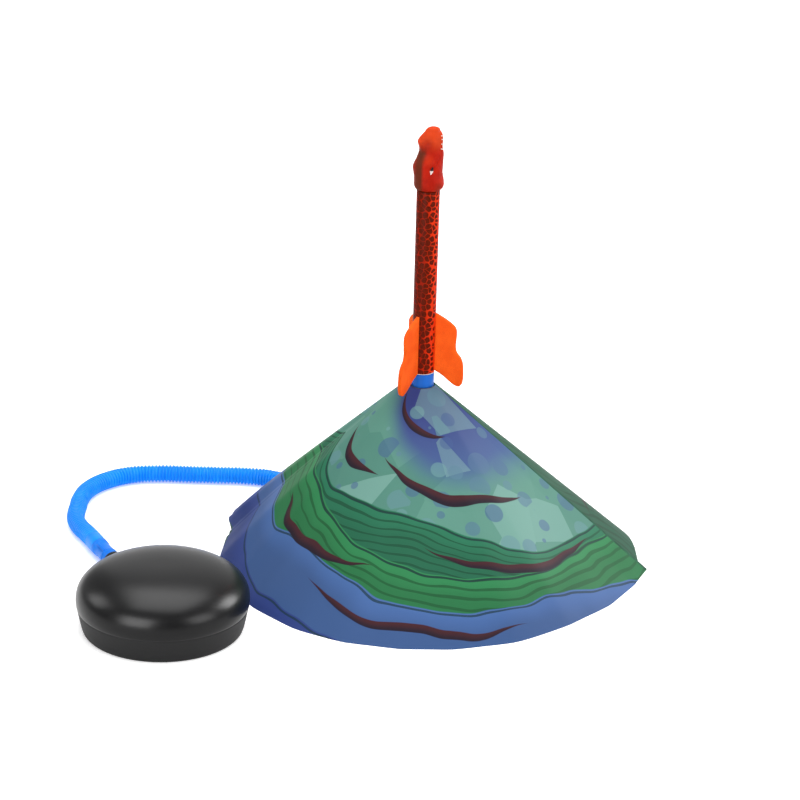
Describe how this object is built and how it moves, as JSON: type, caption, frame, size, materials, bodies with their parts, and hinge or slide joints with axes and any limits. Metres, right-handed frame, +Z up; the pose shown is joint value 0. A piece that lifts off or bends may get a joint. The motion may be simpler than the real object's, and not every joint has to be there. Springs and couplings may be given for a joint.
{
  "type": "stomp rocket toy",
  "caption": "Foam rocket with an animal-head nose on a launch tube, held by a folding tripod under a printed cone skirt, with a ribbed air hose and a domed bladder to stomp on.",
  "frame": {"origin": "on the floor, under the middle of the box round everything but the hose and its cuffs", "axes": "+Z up along the launch tube; +X to the right as seen in the picture, along the longest side; +Y away from the viewer"},
  "size_m": [0.6107, 0.5004, 0.4598],
  "materials": {
    "nose_vinyl": "soft moulded vinyl, satin",
    "plug_foam": "closed-cell foam, matte",
    "tube_print": "printed film over a thin tube, glossy",
    "fin_foam": "die-cut foam sheet, matte",
    "blue_plastic": "moulded, smooth",
    "hose_plastic": "ribbed, satin",
    "skirt_print": "printed sheet, glossy",
    "stand_plastic": "moulded, fine texture",
    "pin_steel": "plated",
    "foot_rubber": "moulded, matte",
    "bladder_rubber": "blow-moulded, satin"
  },
  "bodies": {
    "launcher": {"launch_tube": "blue_plastic", "launch_collar": "blue_plastic", "skirt_front": "skirt_print", "skirt_back": "skirt_print", "stand_hub": "stand_plastic", "leg_pin_1": "pin_steel", "leg_pin_2": "pin_steel", "leg_pin_3": "pin_steel", "hose_elbow": "stand_plastic", "hose_cuff_launcher": "blue_plastic", "hose": "hose_plastic", "hose_cuff_bladder": "blue_plastic", "bladder_pan": "bladder_rubber"},
    "rocket": {"rocket_nose": "nose_vinyl", "nose_plug": "plug_foam", "rocket_tube": "tube_print", "fin_1": "fin_foam", "fin_2": "fin_foam", "fin_3": "fin_foam"},
    "stomp_cap": {"bladder_cap": "bladder_rubber"},
    "leg_1": {"leg_1": "stand_plastic", "foot_1": "foot_rubber"},
    "leg_2": {"leg_2": "stand_plastic", "foot_2": "foot_rubber"},
    "leg_3": {"leg_3": "stand_plastic", "foot_3": "foot_rubber"}
  },
  "joints": [
    {"name": "rocket_launch", "type": "slide", "parent": "launcher", "child": "rocket", "axis": [0, 0, 1], "range_m": [0, 0.16]},
    {"name": "bladder_stomp", "type": "slide", "parent": "launcher", "child": "stomp_cap", "axis": [0, 0, -1], "range_m": [0, 0.035], "stiffness_N_per_m": 400, "springref_m": -0.01},
    {"name": "leg_fold_1", "type": "hinge", "parent": "launcher", "child": "leg_1", "pos_m": [0.05677, 0.05681, 0.146], "axis": [-0.9563, 0.2924, 0], "range_deg": [0, 43]},
    {"name": "leg_fold_2", "type": "hinge", "parent": "launcher", "child": "leg_2", "pos_m": [0.01624, 0.01901, 0.146], "axis": [0.225, -0.9744, 0], "range_deg": [0, 43]},
    {"name": "leg_fold_3", "type": "hinge", "parent": "launcher", "child": "leg_3", "pos_m": [0.06924, 0.00281, 0.146], "axis": [0.7314, 0.682, 0], "range_deg": [0, 43]}
  ]
}
